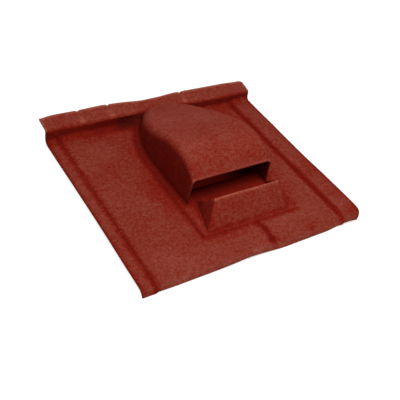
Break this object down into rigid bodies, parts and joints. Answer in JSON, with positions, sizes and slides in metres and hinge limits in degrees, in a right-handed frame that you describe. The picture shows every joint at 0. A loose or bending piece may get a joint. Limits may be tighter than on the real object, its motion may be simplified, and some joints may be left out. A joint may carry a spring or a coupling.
{
  "type": "roof tile vent",
  "caption": "Pressed roof tile with a raised ventilation hood, a leaning rain weir at its mouth, lapped side edges, a turned-down nose and a stepped rear ledge, in a granular red coat.",
  "frame": {"origin": "middle of the tile's outline, on the level of its lowest edge, which is the nose of the low left lap", "axes": "+X across the roof to the raised right-hand lap, +Y up the slope to the rear ledge, +Z out of the roof"},
  "size_m": [0.445, 0.402, 0.0942],
  "materials": {
    "stone_chip_coat": "matt granular brick-red stone-chip coat over pressed sheet"
  },
  "bodies": {
    "root": {"vent_tile": "stone_chip_coat"}
  },
  "joints": []
}
